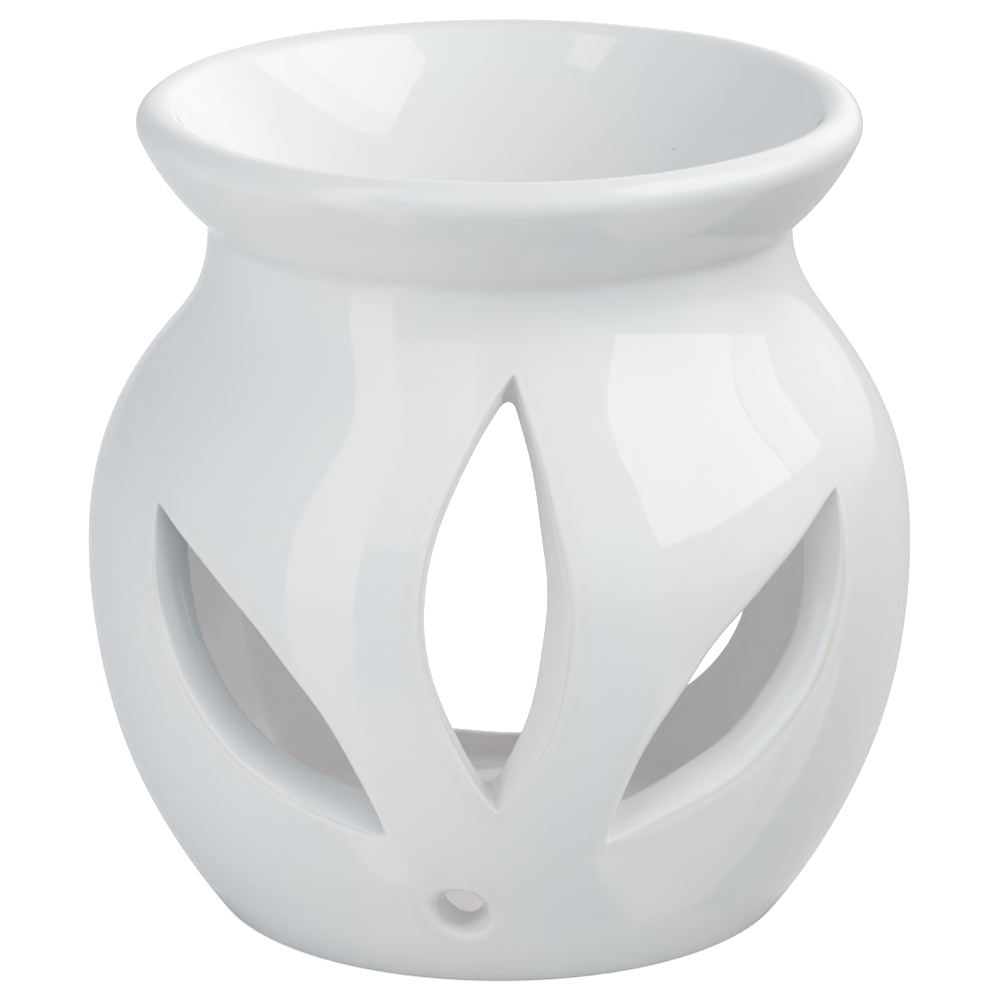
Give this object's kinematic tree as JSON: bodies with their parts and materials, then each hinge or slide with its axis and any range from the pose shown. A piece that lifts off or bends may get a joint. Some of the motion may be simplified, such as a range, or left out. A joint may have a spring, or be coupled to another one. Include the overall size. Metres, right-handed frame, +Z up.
{
  "type": "essential oil burner",
  "caption": "Round glazed ceramic oil burner: a pierced bulb that shelters a tealight and carries a shallow dish with a flared rim for water and scented oil.",
  "frame": {"origin": "centre of the flat foot, on the surface that the burner stands on", "axes": "+Z up along the axis of the bulb, -Y towards the front with the leaf cut-outs, +X to the right seen from the front"},
  "size_m": [0.1, 0.0981, 0.0995],
  "materials": {
    "body_glaze": "glossy cool white glaze, cream where it thins along the cut edges",
    "dish_glaze": "glossy cool white glaze"
  },
  "bodies": {
    "root": {"bulb_body": "body_glaze", "oil_dish": "dish_glaze"}
  },
  "joints": []
}
